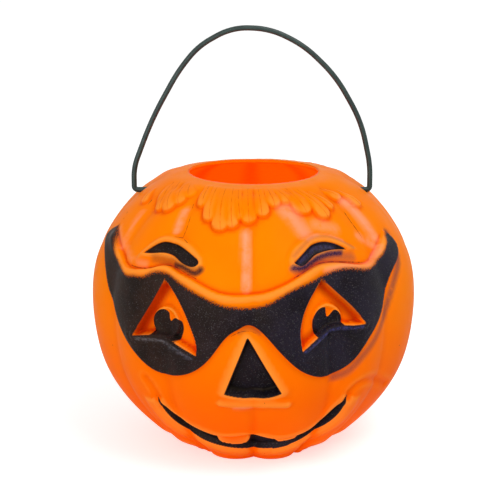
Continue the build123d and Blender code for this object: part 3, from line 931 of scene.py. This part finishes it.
def pail_plastic():
    material, tree, shader = new_material("orange_plastic_sprayed_black")
    orange = orange_colour(tree)
    dots = speckle(tree, 1500, 3, 0.75)

    # Thin broken dark lines along creases and edges, and a few dark specks
    line = from_to(tree, reckon(tree, "ABSOLUTE", mark_value(tree, "dark_line_side"), 0), 0.4, 0.1)
    close = from_to(tree, mark_value(tree, "dark_line_near"), 0.5, 0.8)
    broken = from_to(tree, speckle(tree, 420, 3), 0.34, 0.66, 0.15, 1.0)
    dark_line_amount = reckon(tree, "MULTIPLY", reckon(tree, "MULTIPLY", line, close), broken)
    specks = tree.nodes.new("ShaderNodeTexVoronoi")
    specks.inputs["Scale"].default_value = 190
    tree.links.new(place_in(tree), specks.inputs["Vector"])
    rare = from_to(tree, speckle(tree, 60, 2), 0.60, 0.68)
    dot = reckon(tree, "MULTIPLY", from_to(tree, specks.outputs["Distance"], 0.09, 0.04), rare)
    orange = blend_colour(tree, reckon(tree, "MAXIMUM", dark_line_amount, dot), orange, (0.16, 0.018, 0.006))

    # Mist: specks of overspray that thicken to a haze, brown to the left and violet to the right
    mist = mark_value(tree, "mist")
    across = from_to(tree, axis_of(tree, "X"), -0.02, 0.02)
    haze_colour = blend_colour(tree, across, (0.055, 0.020, 0.018), (0.030, 0.018, 0.060))
    haze = reckon(tree, "MULTIPLY", mist, from_to(tree, dots, 0.25, 0.75, 0.75, 1.25, False), True)
    orange = blend_colour(tree, haze, orange, haze_colour)

    # Paint: a crisp edge, but stippled along the bead
    reach = reckon(tree, "SUBTRACT", mark_value(tree, "black_paint"), paint_offset)
    fuzzy = mark_value(tree, "fuzzy_edge")
    spread = from_to(tree, fuzzy, 0.1, 0.9, 0.25, 8.0)
    stipple = reckon(tree, "MULTIPLY", reckon(tree, "SUBTRACT", dots, 0.5), spread)
    painted = from_to(tree, reckon(tree, "ADD", reach, stipple), -0.12, 0.22)
    scorch = reckon(tree, "MULTIPLY", from_to(tree, reach, -2.6, 0.8), reckon(tree, "MULTIPLY", fuzzy, 0.75))
    orange = blend_colour(tree, scorch, orange, (0.22, 0.020, 0.004))
    colour = blend_colour(tree, painted, orange, black_colour(tree))
    tree.links.new(colour, shader.inputs["Base Color"])

    rough = from_to(tree, speckle(tree, 90, 3), 0.3, 0.7, 0.34, 0.46)
    dull = reckon(tree, "MULTIPLY", painted, 0.08)
    tree.links.new(reckon(tree, "ADD", rough, dull), shader.inputs["Roughness"])
    grain = reckon(tree, "MULTIPLY", speckle(tree, 1300, 2), reckon(tree, "ADD", painted, 0.25))
    bumped(tree, shader, grain, 0.35, 0.00012)
    tree.links.new(from_to(tree, painted, 0, 1, 0.02, 0.14), shader.inputs["Specular IOR Level"])
    shader.inputs["Specular Tint"].default_value = (1.0, 0.72, 0.5, 1)
    # Painted glow, standing in for light that comes through the thin wall: on the inside, and low down round
    # the foot
    painted_glow = reckon(tree, "MULTIPLY", mark_value(tree, "inside"), 0.44)
    painted_low_glow = from_to(tree, axis_of(tree, "Z"), 0.055, 0.004, 0.0, 0.16)
    painted_low_glow = reckon(tree, "MULTIPLY", painted_low_glow, reckon(tree, "SUBTRACT", 1.0, painted))
    tree.links.new(reckon(tree, "MAXIMUM", painted_glow, painted_low_glow), shader.inputs["Emission Strength"])
    shader.inputs["Emission Color"].default_value = (1.0, 0.14, 0.0, 1)
    shader.inputs["Subsurface Weight"].default_value = 0.12
    shader.inputs["Subsurface Radius"].default_value = (1.0, 0.28, 0.05)
    shader.inputs["Subsurface Scale"].default_value = 0.004
    return material


def vinyl_coat():
    """Dark green vinyl, satin, with a faint mottle and fine scuffs along the wire."""
    material, tree, shader = new_material("green_vinyl_coat")
    mottle = from_to(tree, speckle(tree, 140, 4), 0.3, 0.7)
    colour = blend_colour(tree, mottle, (0.010, 0.022, 0.019), (0.022, 0.044, 0.038))
    scuff = from_to(tree, speckle(tree, 900, 2), 0.66, 0.78, 0.0, 0.5)
    colour = blend_colour(tree, scuff, colour, (0.09, 0.12, 0.11))
    tree.links.new(colour, shader.inputs["Base Color"])
    tree.links.new(from_to(tree, speckle(tree, 400, 3), 0.3, 0.7, 0.36, 0.52), shader.inputs["Roughness"])
    bumped(tree, shader, speckle(tree, 700, 3), 0.25, 0.00015)
    shader.inputs["Specular IOR Level"].default_value = 0.4
    return material


def drawn_steel():
    """Bare wire, with fine scratches."""
    material, tree, shader = new_material("drawn_steel")
    scratch = from_to(tree, speckle(tree, 1600, 2), 0.35, 0.65)
    colour = blend_colour(tree, scratch, (0.34, 0.34, 0.33), (0.58, 0.58, 0.57))
    tree.links.new(colour, shader.inputs["Base Color"])
    tree.links.new(from_to(tree, scratch, 0, 1, 0.28, 0.42), shader.inputs["Roughness"])
    shader.inputs["Metallic"].default_value = 1
    return material


def dress(obj, material):
    obj.data.materials.clear()
    obj.data.materials.append(material)


dress(pail, pail_plastic())
dress(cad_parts["handle_coat"], vinyl_coat())
dress(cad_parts["handle_wire"], drawn_steel())

# ---- Floor, light and camera ----
deselect_all()
bpy.ops.mesh.primitive_plane_add(size=40, location=(0, 0, 0))
floor = bpy.context.object
floor.name = "floor"
paper, tree, shader = new_material("white_paper")
shader.inputs["Base Color"].default_value = (0.86, 0.86, 0.86, 1)
shader.inputs["Roughness"].default_value = 0.9
shader.inputs["Specular IOR Level"].default_value = 0.1
path = tree.nodes.new("ShaderNodeLightPath")
lift = reckon(tree, "MULTIPLY", path.outputs["Is Camera Ray"], 0.56)
tree.links.new(lift, shader.inputs["Emission Strength"])
shader.inputs["Emission Color"].default_value = (1, 1, 1, 1)
dress(floor, paper)

world = bpy.context.scene.world or bpy.data.worlds.new("studio")
bpy.context.scene.world = world
world.use_nodes = True
tree = world.node_tree
backdrop = tree.nodes["Background"]
backdrop.inputs["Color"].default_value = (1, 1, 1, 1)
path = tree.nodes.new("ShaderNodeLightPath")
seen = reckon(tree, "MAXIMUM", path.outputs["Is Camera Ray"], path.outputs["Is Transmission Ray"])
seen = reckon(tree, "MAXIMUM", seen, path.outputs["Is Glossy Ray"])
tree.links.new(from_to(tree, seen, 0, 1, 0.55, 1.0, False), backdrop.inputs["Strength"])


def soft_lamp(name, place, aim, size, power):
    lamp = bpy.data.lights.new(name, "AREA")
    lamp.shape = "DISK"
    lamp.size = size
    lamp.energy = power
    stand = bpy.data.objects.new(name, lamp)
    bpy.context.scene.collection.objects.link(stand)
    stand.location = place
    stand.rotation_mode = "QUATERNION"
    stand.rotation_quaternion = (Vector(place) - Vector(aim)).to_track_quat("Z", "Y")


soft_lamp("overhead_right", (0.5, -0.55, 1.3), (0, 0, 0.1), 0.8, 7.5)
soft_lamp("front_left", (-0.7, -1.6, 0.28), (0, 0, 0.08), 1.1, 12)

# The camera, fitted to the photo
view_width = 36.0           # of the sensor
focal_pixels = 1449         # focal length
picture_width = 500         # pixels
aim_across, aim_height = -0.0022, 0.1183
camera_data = bpy.data.cameras.new("camera")
camera_data.sensor_width = view_width
camera_data.lens = focal_pixels / picture_width * view_width
camera = bpy.data.objects.new("camera", camera_data)
bpy.context.scene.collection.objects.link(camera)
tilt = math.radians(13)
away = 0.9
camera.location = (aim_across, -away * math.cos(tilt), aim_height + away * math.sin(tilt))
camera.rotation_euler = (math.pi / 2 - tilt, 0, 0)
camera_data.clip_start = 0.05
camera_data.clip_end = 50
bpy.context.scene.camera = camera

bpy.context.scene.view_settings.view_transform = "Standard"
